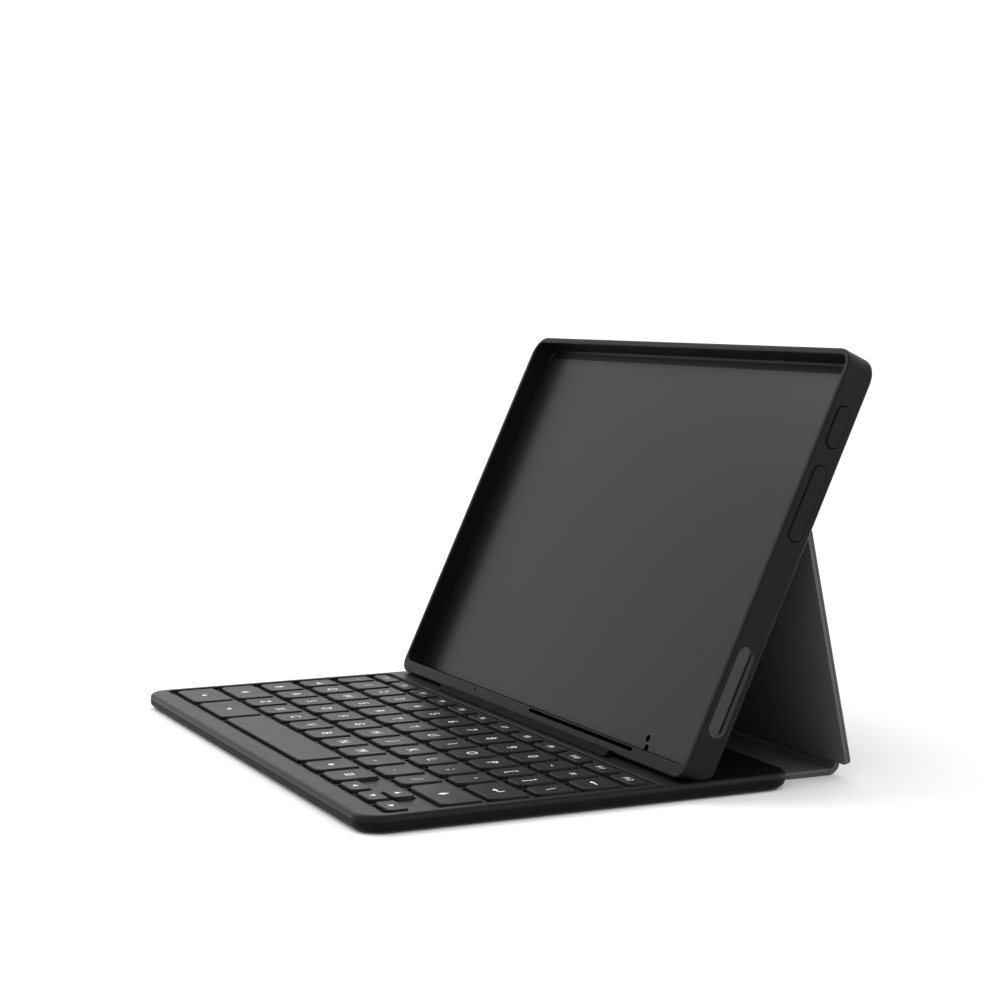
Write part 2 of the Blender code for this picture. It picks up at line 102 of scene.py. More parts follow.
@dataclass(frozen=True)
class Finish:
    """One finish of the case, as a maker would specify it."""

    name: str
    colour: tuple[float, float, float]
    shade: tuple[float, float, float]
    roughness: float
    spread: float = 0.05
    specular: float = 0.5
    metallic: float = 0.0
    texture: Texture = Texture.FINE
    grain: float = 0.4 * MM
    depth: float = 0.02 * MM

    @classmethod
    def grey(cls, name: str, level: float, shade: float, blue: float, roughness: float, **rest: Any) -> Finish:
        """Returns a grey finish.

        Args:
            name: its name.
            level: its colour's red and green.
            shade: its darker or paler blotches' red and green.
            blue: how much more blue than red both have.
            roughness: its middle roughness.
            rest: its other fields.

        Returns:
            The finish.
        """
        return cls(name, (level, level, level + blue), (shade, shade, shade + blue), roughness, **rest)

    def material(self) -> bpy.types.Material:
        """Returns the finish's material, made once.

        Returns:
            The node material: mottled colour, uneven roughness and a bump in the finish's texture.
        """
        known = bpy.data.materials.get(self.name)
        if known:
            return known
        made = bpy.data.materials.new(self.name)
        made.use_nodes = True
        tree = made.node_tree
        shader = tree.nodes["Principled BSDF"]
        shader.inputs["Specular IOR Level"].default_value = self.specular
        shader.inputs["Metallic"].default_value = self.metallic
        place = tree.nodes.new("ShaderNodeTexCoord").outputs["Object"]
        blotches = self._noise(tree, place, 1 / (18 * MM), 3.0)
        mix = tree.nodes.new("ShaderNodeMix")
        mix.data_type = "RGBA"
        mix.inputs[6].default_value = (*self.colour, 1.0)
        mix.inputs[7].default_value = (*self.shade, 1.0)
        tree.links.new(blotches, mix.inputs[0])
        tree.links.new(mix.outputs[2], shader.inputs["Base Color"])
        ramp = tree.nodes.new("ShaderNodeMapRange")
        ramp.inputs["To Min"].default_value = self.roughness - self.spread
        ramp.inputs["To Max"].default_value = self.roughness + self.spread
        tree.links.new(self._noise(tree, place, 1 / (6 * MM), 4.0), ramp.inputs["Value"])
        tree.links.new(ramp.outputs[0], shader.inputs["Roughness"])
        if self.texture is not Texture.PLAIN:
            bump = tree.nodes.new("ShaderNodeBump")
            bump.inputs["Strength"].default_value = 0.6
            bump.inputs["Distance"].default_value = self.depth
            tree.links.new(self._height(tree, place), bump.inputs["Height"])
            tree.links.new(bump.outputs[0], shader.inputs["Normal"])
        return made

    def _noise(
        self, tree: bpy.types.NodeTree, place: bpy.types.NodeSocket, scale: float, detail: float
    ) -> bpy.types.NodeSocket:
        """Adds a noise texture.

        Args:
            tree: the material's node tree.
            place: the socket with the surface's coordinates.
            scale: how many waves fit in a metre.
            detail: the octaves of finer noise on it.

        Returns:
            The socket with the noise's height, from 0 to 1.
        """
        noise = tree.nodes.new("ShaderNodeTexNoise")
        noise.inputs["Scale"].default_value = scale
        noise.inputs["Detail"].default_value = detail
        tree.links.new(place, noise.inputs["Vector"])
        return noise.outputs["Fac"]

    def _height(self, tree: bpy.types.NodeTree, place: bpy.types.NodeSocket) -> bpy.types.NodeSocket:
        """Adds the nodes of the surface's texture.

        Args:
            tree: the material's node tree.
            place: the socket with the surface's coordinates.

        Returns:
            The socket with the texture's height, from 0 to 1.
        """
        if self.texture is Texture.LEATHER:
            cells = tree.nodes.new("ShaderNodeTexVoronoi")
            cells.feature = "SMOOTH_F1"
            cells.inputs["Scale"].default_value = 1 / self.grain
            cells.inputs["Smoothness"].default_value = 0.6
            tree.links.new(place, cells.inputs["Vector"])
            return cells.outputs["Distance"]
        if self.texture is Texture.BRUSHED:
            stretch = tree.nodes.new("ShaderNodeMapping")
            stretch.inputs["Scale"].default_value = (0.02, 1.0, 1.0)
            tree.links.new(place, stretch.inputs["Vector"])
            return self._noise(tree, stretch.outputs[0], 1 / self.grain, 2.0)
        detail = 6.0 if self.texture is Texture.FELT else 2.0
        return self._noise(tree, place, 1 / self.grain, detail)


SOFT_BLACK = Finish.grey("soft_black_shell", 0.004, 0.005, 0.0002, 0.42, specular=0.1)
# Painted shade: the tub is black like the frame but darker and less shiny, so the deck's side darkens towards the
# bottom.
TUB_BLACK_PAINTED_SHADE = Finish.grey("tub_black", 0.003, 0.004, 0.0002, 0.5, specular=0.06)
# Painted light: a paler grey for the port opening's cut faces, lifting the shade inside the opening.
PORT_PAINTED_LIGHT = Finish.grey("port_black", 0.022, 0.026, 0.0005, 0.6, specular=0.1)
DECK_BLACK = Finish.grey("deck_black", 0.004, 0.0055, 0.0002, 0.36, specular=0.12)
KEY_BLACK = replace(DECK_BLACK, name="key_cap_black", specular=0.13, grain=0.25 * MM)
# Painted shade: near-black for the cut faces of the lower wall's slot and hole and of the back's two holes, darker
# than the shell.
RECESS_PAINTED_SHADE = Finish.grey("recess_black", 0.001, 0.0012, 0.0, 0.8, specular=0.02)
# Painted shade: the dock bar is darker and duller than the deck, for the shade on its front face under the tray.
BAR_BLACK_PAINTED_SHADE = Finish.grey("dock_bar_black", 0.0025, 0.003, 0.0001, 0.7, specular=0.05)
PRINT_WHITE = Finish.grey("key_print_white", 0.9, 0.84, 0.0, 0.55, specular=0.3, texture=Texture.PLAIN)
FLOOR_WHITE = Finish.grey("floor_paper", 0.93, 0.945, 0.0, 0.9, specular=0.1, texture=Texture.PLAIN)
LINING_GREY = Finish.grey(
    "tray_lining_satin", 0.007, 0.0078, 0.0002, 0.3, spread=0.015, specular=0.18, grain=1.2 * MM, depth=0.003 * MM
)
COVER_SKIN = Finish.grey(
    "cover_skin_grain", 0.05, 0.058, 0.0005, 0.62, specular=0.2, texture=Texture.LEATHER, grain=0.6 * MM
)
# Painted light: the panels' inner sides are the same leather but paler than the outer skin, lifting the shade
# between the flap and the tray.
COVER_INSIDE_PAINTED_LIGHT = replace(
    Finish.grey("cover_inside_grain", 0.08, 0.09, 0.001, 0.7, specular=0.15),
    texture=Texture.LEATHER,
    grain=0.6 * MM,
    depth=0.01 * MM,
)
COATED_STEEL = Finish.grey("coated_steel", 0.012, 0.015, 0.0, 0.45, specular=0.3)
STEEL = Finish("rolled_steel", (0.5, 0.51, 0.52), (0.42, 0.43, 0.44), 0.32, metallic=1.0, texture=Texture.BRUSHED)
NICKEL = Finish("nickel_plate", (0.6, 0.58, 0.54), (0.52, 0.5, 0.47), 0.25, metallic=1.0, texture=Texture.PLAIN)
FILM = Finish("circuit_film", (0.22, 0.24, 0.26), (0.3, 0.32, 0.34), 0.3, texture=Texture.PLAIN)
DOME_RUBBER = Finish("dome_rubber", (0.6, 0.6, 0.58), (0.52, 0.52, 0.5), 0.8)
FOIL = Finish("battery_foil", (0.38, 0.39, 0.4), (0.3, 0.31, 0.32), 0.35, metallic=0.8, texture=Texture.BRUSHED)
LACQUER = Finish("circuit_lacquer", (0.02, 0.11, 0.05), (0.03, 0.15, 0.07), 0.35)
GREY_BOARD = Finish("pressed_board", (0.2, 0.19, 0.17), (0.26, 0.25, 0.22), 0.9, texture=Texture.FELT)


# Surfaces


@dataclass
class Surface:
    """A mesh in the making: points as one array and faces as lists of point numbers."""

    points: np.ndarray
    faces: list[list[int]]

    @classmethod
    def loft(cls, rings: Sequence[np.ndarray]) -> Surface:
        """Joins closed rings of equally many points, and closes the first and the last with a face.

        The surface is a function of two parameters: the place round a ring, and the ring. Rings that run
        anticlockwise seen from the side that they advance to give faces that point outwards.

        Args:
            rings: arrays of points with three coordinates, in order.

        Returns:
            The closed surface.
        """
        stack = np.stack(rings)
        count, around = stack.shape[:2]
        index = np.arange(count * around).reshape(count, around)
        ahead = np.roll(index, -1, axis=1)
        quads = np.stack([index[:-1], ahead[:-1], ahead[1:], index[1:]], axis=-1).reshape(-1, 4)
        faces = quads.tolist()
        faces.append(index[0][::-1].tolist())
        faces.append(index[-1].tolist())
        return cls(stack.reshape(-1, 3), faces)

    @classmethod
    def joined(cls, parts: Sequence[Surface]) -> Surface:
        """Returns several surfaces as one, each still a shell of its own."""
        starts = np.cumsum([0] + [len(part.points) for part in parts])
        faces = [[number + start for number in face] for part, start in zip(parts, starts) for face in part.faces]
        return cls(np.concatenate([part.points for part in parts]), faces)

    def placed(self, matrix: Matrix) -> Surface:
        """Returns the surface carried by a rigid transform."""
        turn = np.array(matrix.to_3x3())
        return Surface(self.points @ turn.T + np.array(matrix.translation), self.faces)

    def build(self, name: str, finish: Finish | None = None, sharp: float = SHARP) -> bpy.types.Object:
        """Makes the mesh object.

        Args:
            name: the piece's name.
            finish: its finish, or None for a cutting tool.
            sharp: edges that turn by more than this many degrees stay crisp.

        Returns:
            The object, at the origin, with its place in its mesh.
        """
        mesh = bpy.data.meshes.new(name)
        mesh.from_pydata(self.points, [], self.faces)
        mesh.validate()
        piece = add_object(name, mesh)
        if finish:
            mesh.materials.append(finish.material())
            shade(piece, sharp)
        return piece


def add_object(name: str, data: bpy.types.ID) -> bpy.types.Object:
    """Adds an object with some data to the scene, at the origin."""
    made = bpy.data.objects.new(name, data)
    bpy.context.scene.collection.objects.link(made)
    return made


def shade(piece: bpy.types.Object, sharp: float = SHARP) -> None:
    """Shades a piece smooth up to an angle, and lets its large flat faces stay flat."""
    piece.data.shade_smooth()
    piece.data.set_sharp_from_angle(angle=math.radians(sharp))
    even = piece.modifiers.new("Even shading", "WEIGHTED_NORMAL")
    even.keep_sharp = True


def carve(piece: bpy.types.Object, tools: Sequence[bpy.types.Object]) -> None:
    """Cuts tools from a piece, applies the cuts and removes the tools.

    Args:
        piece: the mesh object that is cut.
        tools: closed mesh objects.
    """
    piece.modifiers.clear()
    for tool in tools:
        step = piece.modifiers.new("Cut " + tool.name, "BOOLEAN")
        step.operation = "DIFFERENCE"
        step.solver = "EXACT"
        step.material_mode = "TRANSFER"
        step.object = tool
    bpy.context.view_layer.update()
    evaluated = piece.evaluated_get(bpy.context.evaluated_depsgraph_get())
    mesh = bpy.data.meshes.new_from_object(evaluated)
    piece.modifiers.clear()
    piece.data = mesh
    for tool in tools:
        bpy.data.objects.remove(tool, do_unlink=True)
    shade(piece)


def outline(
    centre: Sequence[float], half: Sequence[float], radii: float | Sequence[float], steps: int = 8
) -> np.ndarray:
    """Returns the points round a rectangle with arc corners, anticlockwise.

    Each corner is a quarter circle: its own centre, which lies one radius inside both edges, plus the radius
    times (cosine, sine) of an angle that runs through a right angle.

    Args:
        centre: the rectangle's centre.
        half: half its width and half its height.
        radii: one corner radius, or four, from the lower right corner anticlockwise.
        steps: the number of facets in each corner.

    Returns:
        An array of points with two coordinates.
    """
    signs = np.array([[1, -1], [1, 1], [-1, 1], [-1, -1]])
    starts = np.array([-0.5, 0.0, 0.5, 1.0]) * math.pi
    turn = starts[:, None] + np.linspace(0, math.pi / 2, steps + 1)[None, :]
    radius = np.maximum(np.broadcast_to(radii, 4), CRISP)[:, None]
    inner = np.asarray(centre) + signs * (np.asarray(half) - radius)
    arc = np.stack([np.cos(turn), np.sin(turn)], axis=-1) * radius[:, :, None]
    return (inner[:, None, :] + arc).reshape(-1, 2)


def at_height(points: np.ndarray, height: float) -> np.ndarray:
    """Returns flat points lifted to a height."""
    return np.column_stack([points, np.full(len(points), height)])


def across(section: np.ndarray, x: float) -> np.ndarray:
    """Returns an (along, up) section's points at a place across the case."""
    return np.column_stack([np.full(len(section), x), section])


def quarter(radius: float, steps: int, outward: bool) -> list[tuple[float, float]]:
    """Returns a rounded edge as (inset, rise) pairs: radius times (1 - sine, 1 - cosine) of a growing angle.

    Args:
        radius: the edge's radius.
        steps: its number of facets.
        outward: True where the edge widens as it rises, as a lower edge does.

    Returns:
        The pairs, from the lowest to the highest.
    """
    angles = np.linspace(0, math.pi / 2, steps + 1)
    pairs = np.column_stack([radius * (1 - np.sin(angles)), radius * (1 - np.cos(angles))])
    if not outward:
        pairs = np.column_stack([pairs[::-1, 0], radius - pairs[::-1, 1]])
    return [tuple(pair) for pair in pairs]


@dataclass
class Slab:
    """A flat body with a rounded plan and rounded upper and lower edges."""

    low: Sequence[float]
    high: Sequence[float]
    corner: float | Sequence[float]
    lower_edge: float = 0.3 * MM
    upper_edge: float = 0.3 * MM
    steps: int = 4
    corner_steps: int = 8

    def profile(self) -> list[tuple[float, float]]:
        """Returns the side's profile as (inset, height) pairs from the bottom up."""
        bottom, top = self.low[2], self.high[2] - self.upper_edge
        pairs = [(inset, bottom + rise) for inset, rise in quarter(self.lower_edge, self.steps, True)]
        pairs += [(inset, top + rise) for inset, rise in quarter(self.upper_edge, self.steps, False)]
        return pairs

    def ring(self, inset: float, height: float) -> np.ndarray:
        """Returns the plan's outline drawn in by an inset, at a height."""
        low, high = np.asarray(self.low[:2]), np.asarray(self.high[:2])
        radii = np.broadcast_to(self.corner, 4) - inset
        flat = outline((low + high) / 2, (high - low) / 2 - inset, radii, self.corner_steps)
        return at_height(flat, height)

    def surface(self) -> Surface:
        """Returns the slab's closed surface."""
        return Surface.loft([self.ring(inset, height) for inset, height in self.profile()])

    def prism(self) -> Surface:
        """Returns the slab's plan raised straight up, with sharp edges."""
        return Surface.loft([self.ring(0.0, self.low[2]), self.ring(0.0, self.high[2])])


def corners(node: str) -> tuple[np.ndarray, np.ndarray]:
    """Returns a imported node's lowest and highest corners at rest."""
    low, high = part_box(node)
    return np.array(low), np.array(high)


def local_box(node: str, matrix: Matrix) -> tuple[np.ndarray, np.ndarray]:
    """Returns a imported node's lowest and highest corners in a turned frame."""
    back = matrix.inverted()
    points = np.array([tuple(back @ vertex.co) for vertex in frame["nodes"][node].data.vertices])
    return points.min(axis=0), points.max(axis=0)


def fold_place(joint: str) -> Vector:
    """Returns a point on a fold's axis."""
    return Vector(next(entry["pos_m"] for entry in frame["joints"] if entry["name"] == joint))


# Keyboard


@dataclass(frozen=True)
class KeyRow:
    """Keys that share a carrier: their signs in order, and how many narrow ones end the row."""

    node: str
    signs: tuple[str, ...]
    narrow: int


@dataclass
class Keys:
    """The key caps and the signs printed on them."""

    gap: float = 2.6 * MM
    pitch: float = 17.9 * MM
    narrow_width: float = 15.0 * MM
    wall_draw: float = 0.35 * MM
    edge: float = 0.4 * MM
    dish: float = 0.12 * MM
    front_radius: float = 3.2 * MM
    back_radius: float = 1.1 * MM
    letter_height: float = 4.2 * MM
    print_lift: float = 0.012 * MM
    rows: tuple[KeyRow, ...] = (
        KeyRow("shift_row_keys", tuple("ZXCVBNM,./"), 1),
        KeyRow("home_row_keys", tuple("ASDFGHJKL;'"), 1),
        KeyRow("upper_row_keys", tuple("QWERTYUIOP[]"), 2),
        KeyRow("number_row_keys", tuple("1234567890-="), 2),
    )
    singles: dict[str, str] = field(
        default_factory=lambda: {
            "left_corner_key": "dot",
            "left_of_space_key": "dot",
            "space_bar": "",
            "right_of_space_key": "dot",
            "menu_key": "lines",
            "left_arrow_key": "left",
            "right_arrow_key": "right",
            "up_arrow_key": "up",
            "down_arrow_key": "down",
            "left_shift_key": "shift",
            "right_shift_key": "shift",
            "caps_key": "lock",
            "enter_key": "return",
            "tab_key": "tab",
            "slash_key": "\\",
            "accent_key": "`",
            "backspace_key": "back",
        }
    )

    def boxes(self) -> list[tuple[str, np.ndarray, np.ndarray, str]]:
        """Works out every cap's place.

        Returns:
            A list of (node, low corner, high corner, sign), one for each cap.
        """
        found = []
        for row in self.rows:
            low, high = corners(row.node)
            left = low[0]
            for number, sign in enumerate(row.signs):
                narrow = number >= len(row.signs) - row.narrow
                width = (self.narrow_width if narrow else self.pitch) - self.gap
                start, end = np.array([left, *low[1:]]), np.array([left + width, *high[1:]])
                found.append((row.node, start, end, sign))
                left += width + self.gap
        for node, sign in self.singles.items():
            found.append((node, *corners(node), sign))
        for number in range(1, 13):
            node = f"function_key_{number:02d}"
            found.append((node, *corners(node), f"F{number}"))
        return found

    def top(self, low: np.ndarray, high: np.ndarray, x: np.ndarray, y: np.ndarray) -> np.ndarray:
        """Returns the height of a cap's dished top.

        The dish is a shallow paraboloid: it lies lowest in the middle, and rises with the square of the
        distance from the middle, as a share of the way to the edge.

        Args:
            low: the cap's low corner.
            high: its high corner.
            x: places across the keyboard.
            y: places along it.

        Returns:
            The heights, as one array.
        """
        middle, half = (low + high) / 2, (high - low) / 2
        share = np.maximum(np.abs((x - middle[0]) / half[0]), np.abs((y - middle[1]) / half[1]))
        return high[2] - self.dish * (1 - np.clip(share, 0, 1) ** 2)

    def cap(self, low: np.ndarray, high: np.ndarray) -> Surface:
        """Returns one key cap: walls drawn in as they rise, a rounded edge and a dished top.

        Args:
            low: the cap's low corner.
            high: its high corner.

        Returns:
            The cap's closed surface.
        """
        middle, half = (low[:2] + high[:2]) / 2, (high[:2] - low[:2]) / 2
        radii = np.array([self.front_radius, self.back_radius, self.back_radius, self.front_radius])
        radii = np.minimum(radii, half.min() * 0.6)
        rim = high[2] - CRISP
        pairs = [(0.0, low[2]), (self.wall_draw, rim - self.edge)]
        pairs += [(self.wall_draw + i, rim - self.edge + rise) for i, rise in quarter(self.edge, 4, False)[1:]]
        rings = [at_height(outline(middle, half - inset, radii - inset, 5), height) for inset, height in pairs]
        flat = rings[-1][:, :2]
        for share in (0.92, 0.75, 0.5, 0.25):
            inner = middle + (flat - middle) * share
            rings.append(np.column_stack([inner, self.top(low, high, inner[:, 0], inner[:, 1])]))
        return Surface.loft(rings)

    def build(self) -> None:
        """Makes the caps and signs of every key body, and hides the plain caps."""
        caps: dict[str, list[Surface]] = {}
        signs: dict[str, list[Surface]] = {}
        for node, low, high, sign in self.boxes():
            caps.setdefault(node, []).append(self.cap(low, high))
            if sign:
                signs.setdefault(node, []).append(self.sign(sign, low, high))
        bodies = {node: row["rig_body"] for node, row in frame["nodes"].items()}
        for node, surfaces in caps.items():
            if len(surfaces) > 1:
                surfaces.append(self.carrier(node))
            piece = Surface.joined(surfaces).build(node + "_cap", KEY_BLACK)
            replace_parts(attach(piece, bodies[node]), node)
        for node, surfaces in signs.items():
            piece = Surface.joined(surfaces).build(node + "_sign", PRINT_WHITE)
            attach(piece, bodies[node])
        LOG.info("keys: %d caps on %d bodies", len(self.boxes()), len(caps))

    def carrier(self, node: str) -> Surface:
        """Returns the bar under the web that joins a row's caps."""
        low, high = corners(node)
        middle = (low[1] + high[1]) / 2
        reach = 6.0 * MM
        start = (low[0] + reach, middle - reach / 2, low[2] + 0.05 * MM)
        end = (high[0] - reach, middle + reach / 2, low[2] + 0.3 * MM)
        return Slab(start, end, 1.0 * MM, 0.05 * MM, 0.05 * MM, 1, 2).surface()

    def sign(self, sign: str, low: np.ndarray, high: np.ndarray) -> Surface:
        """Returns a sign lying on its cap's top.

        Args:
            sign: one or two characters, or the name of a drawn sign.
            low: the cap's low corner.
            high: its high corner.

        Returns:
            The sign as a thin film that follows the dish.
        """
        half_depth = (high[1] - low[1]) / 2
        height = min(self.letter_height, half_depth * 0.9)
        drawn = Glyphs.shape(sign, height)
        middle = (low + high) / 2
        points = drawn.points.copy()
        points[:, :2] += middle[:2]
        points[:, 2] += self.top(low, high, points[:, 0], points[:, 1]) + self.print_lift
        return Surface(points, drawn.faces)


class Glyphs:
    """Signs for the keys: plain letters and digits, and drawn arrows, dots and lines."""

    THICK = 0.13
    FILM = 0.01 * MM

    @classmethod
    def shape(cls, sign: str, height: float) -> Surface:
        """Returns a sign centred on the origin.

        Args:
            sign: one or two characters, or the name of a drawn sign.
            height: the height of a capital letter.

        Returns:
            The sign as a thin flat film.
        """
        drawn = {
            "dot": lambda: [cls.disc(0.26)],
            "lines": lambda: [cls.bar((-0.4, y), (0.4, y)) for y in (-0.3, 0.0, 0.3)],
            "left": lambda: [cls.triangle(math.pi)],
            "right": lambda: [cls.triangle(0.0)],
            "up": lambda: [cls.triangle(math.pi / 2)],
            "down": lambda: [cls.triangle(-math.pi / 2)],
            "shift": lambda: [cls.triangle(math.pi / 2), cls.bar((0.0, -0.5), (0.0, -0.1), 0.34)],
            "lock": lambda: [cls.triangle(math.pi / 2), cls.bar((-0.42, -0.5), (0.42, -0.5))],
            "return": lambda: [*cls.arrow(math.pi, 1.0), cls.bar((0.5, 0.0), (0.5, 0.5))],
            "tab": lambda: [*cls.arrow(0.0, 0.85), cls.bar((0.62, -0.42), (0.62, 0.42))],
            "back": lambda: cls.arrow(math.pi, 1.1),
        }
        if sign in drawn:
            return Surface.joined([cls.film(points * height) for points in drawn[sign]()])
        return cls.letters(sign, height)

    @classmethod
    def film(cls, points: np.ndarray) -> Surface:
        """Returns a flat outline as a film, from its foot to its top."""
        return Surface.loft([at_height(points, -cls.FILM), at_height(points, 0.0)])

    @classmethod
    def disc(cls, radius: float) -> np.ndarray:
        """Returns a circle: the radius times (cosine, sine) of an even turn."""
        turn = np.linspace(0, 2 * math.pi, 17)[:-1]
        return radius * np.column_stack([np.cos(turn), np.sin(turn)])

    @classmethod
    def triangle(cls, direction: float) -> np.ndarray:
        """Returns a triangle whose tip points in a direction, given in radians."""
        turn = direction + np.array([0.0, 2.2, -2.2])
        return 0.42 * np.column_stack([np.cos(turn), np.sin(turn)])

    @classmethod
    def bar(cls, start: tuple[float, float], end: tuple[float, float], thick: float = THICK) -> np.ndarray:
        """Returns a straight bar: both ends, moved half its thickness to either side."""
        a, b = np.array(start), np.array(end)
        along = (b - a) / np.linalg.norm(b - a)
        side = np.array([-along[1], along[0]]) * thick / 2
        return np.array([a - side, b - side, b + side, a + side])

    @classmethod
    def arrow(cls, direction: float, length: float) -> list[np.ndarray]:
        """Returns an arrow's shaft and head, centred on the origin."""
        along = np.array([math.cos(direction), math.sin(direction)]) * length / 2
        shaft = cls.bar(tuple(-along), tuple(along * 0.6))
        return [shaft, cls.triangle(direction) * 0.7 + along * 0.75]

    @classmethod
    def letters(cls, text: str, height: float) -> Surface:
        """Returns characters as a film.

        Args:
            text: the characters.
            height: the height of a capital letter.

        Returns:
            The film, centred on the origin.
        """
        curve = bpy.data.curves.new("letters", "FONT")
        curve.body = text
        curve.size = height / 0.72 * (0.8 if len(text) > 1 else 1.0)
        curve.align_x = "CENTER"
        curve.align_y = "CENTER"
        curve.resolution_u = 3
        curve.extrude = cls.FILM / 2
        holder = add_object("letters", curve)
        bpy.context.view_layer.update()
        mesh = bpy.data.meshes.new_from_object(holder.evaluated_get(bpy.context.evaluated_depsgraph_get()))
        points = np.zeros(len(mesh.vertices) * 3)
        mesh.vertices.foreach_get("co", points)
        faces = [list(face.vertices) for face in mesh.polygons]
        bpy.data.objects.remove(holder, do_unlink=True)
        bpy.data.curves.remove(curve)
        bpy.data.meshes.remove(mesh)
        points = points.reshape(-1, 3)
        points[:, 2] -= cls.FILM / 2
        return Surface(points, faces)


@dataclass
class Deck:
    """The keyboard deck: top frame with its key well, tub, underside skin and dock bar."""

    corner: float = 10.0 * MM
    top_round: float = 1.5 * MM
    bottom_round: float = 2.2 * MM
    seam: float = CRISP
    well_gap: float = 2.6 * MM
    well_corner: float = 2.6 * MM
    well_edge: float = 0.35 * MM
    web_drop: float = 1.1 * MM
    hole_margin: float = 0.4 * MM
    bar_end: float = 1.2 * MM

    def build(self, keys: Keys) -> None:
        """Makes the deck's pieces."""
        self.top_frame(keys)
        self.tub()
        self.skin()
        self.dock_bar()
        LOG.info("deck: frame, tub, skin and dock bar")

    def top_frame(self, keys: Keys) -> None:
        """Makes the top frame: a rounded slab with a sunken key field, cut through under every key."""
        low, high = corners("keyboard_top_frame")
        tub_top = corners("deck_bottom_shell")[1][2]
        boxes = keys.boxes()
        field_low = np.min([box[1] for box in boxes], axis=0) - self.well_gap
        field_high = np.max([box[2] for box in boxes], axis=0) + self.well_gap
        plan = Slab((*low[:2], tub_top + self.seam), high, self.corner, CRISP, self.top_round, 6, 16)
        rings = [plan.ring(inset, height) for inset, height in plan.profile()]
        well = Slab((*field_low[:2], 0.0), (*field_high[:2], 0.0), self.well_corner, corner_steps=16)
        floor = high[2] - self.web_drop
        rings.append(well.ring(-self.well_edge, high[2]))
        for inset, rise in reversed(quarter(self.well_edge, 3, True)[:-1]):
            rings.append(well.ring(inset - self.well_edge, high[2] - self.well_edge + rise))
        rings.append(well.ring(0.0, floor + 0.1 * MM))
        rings.append(well.ring(0.1 * MM, floor))
        piece = Surface.loft(rings).build("deck_top_frame", DECK_BLACK)
        holes = []
        for _, start, end, _ in boxes:
            reach = np.array([self.hole_margin, self.hole_margin, 0.0])
            low_end, high_end = (*(start - reach)[:2], tub_top), (*(end + reach)[:2], high[2])
            holes.append(Slab(low_end, high_end, keys.back_radius, corner_steps=3).prism())
        carve(piece, [Surface.joined(holes).build("key_holes")])
        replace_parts(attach(piece, "deck"), "keyboard_top_frame")

    def tub(self) -> None:
        """Makes the tub: a rounded slab, hollow from above, with the window of the charging socket."""
        low, high = corners("deck_bottom_shell")
        outer = Slab(low, high, self.corner, self.bottom_round, CRISP, 6, 16)
        rings = [outer.ring(inset, height) for inset, height in outer.profile()]
        wall, floor = 2.0 * MM, low[2] + 0.6 * MM
        rings.append(outer.ring(wall, high[2]))
        rings.append(outer.ring(wall, floor))
        # The tub's darker black is painted shade on the lower part of the deck's side.
        piece = Surface.loft(rings).build("deck_tub", TUB_BLACK_PAINTED_SHADE)
        start, end = corners("charge_socket")
        gap = np.array([5 * MM, 0.25 * MM, 0.25 * MM])
        window = Slab(start - gap, (start[0] + wall + 1 * MM, *(end + gap)[1:]), 0, CRISP, CRISP, 1, 1)
        carve(piece, [window.surface().build("socket_window")])
        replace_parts(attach(piece, "deck"), "deck_bottom_shell")

    def skin(self) -> None:
        """Makes the skin bonded under the deck."""
        low, high = corners("deck_outer_skin")
        surface = Slab(low, high, self.corner - 2 * MM, 0.3 * MM, 0.1 * MM, 3, 12).surface()
        piece = surface.build("deck_underside_skin", COVER_SKIN)
        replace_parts(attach(piece, "deck"), "deck_outer_skin")

    def dock_bar(self) -> None:
        """Makes the dock bar: its wedge-shaped section swept across the deck, drawn in at both ends."""
        low, high = corners("dock_bar")
        depth, tall = high[1] - low[1], high[2] - low[2]
        slope = [(0.0, 0.0), (0.04, 0.12), (0.55, 0.78), (0.66, 0.9), (0.76, 0.98)]
        section = np.array([*slope, (0.85, 1.0), (0.95, 0.97), (1.0, 0.88), (1.0, 0.0)])
        section = section[::-1] * (depth, tall) + low[1:]
        middle = section.mean(axis=0)
        rings = []
        ends = self.bar_end * (1 - np.cos(np.linspace(0, math.pi / 2, 5)))
        draws = 0.35 * MM * (1 - np.sin(np.linspace(0, math.pi / 2, 5)))
        stations = [(low[0] + end, draw) for end, draw in zip(ends, draws)]
        stations += [(high[0] - end, draw) for end, draw in zip(ends[::-1], draws[::-1])]
        for x, draw in stations:
            rings.append(across(section + (middle - section) * (draw / depth), x)[::-1])
        # The bar's darker finish is painted shade under the tray's lower edge.
        piece = Surface.loft(rings).build("dock_bar_lip", BAR_BLACK_PAINTED_SHADE, SOFT_SHARP)
        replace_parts(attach(piece, "deck"), "dock_bar")


# Tray


@dataclass(frozen=True)
class Button:
    """A button in the tray's right wall."""

    node: str
    body: str
    up: float
    length: float


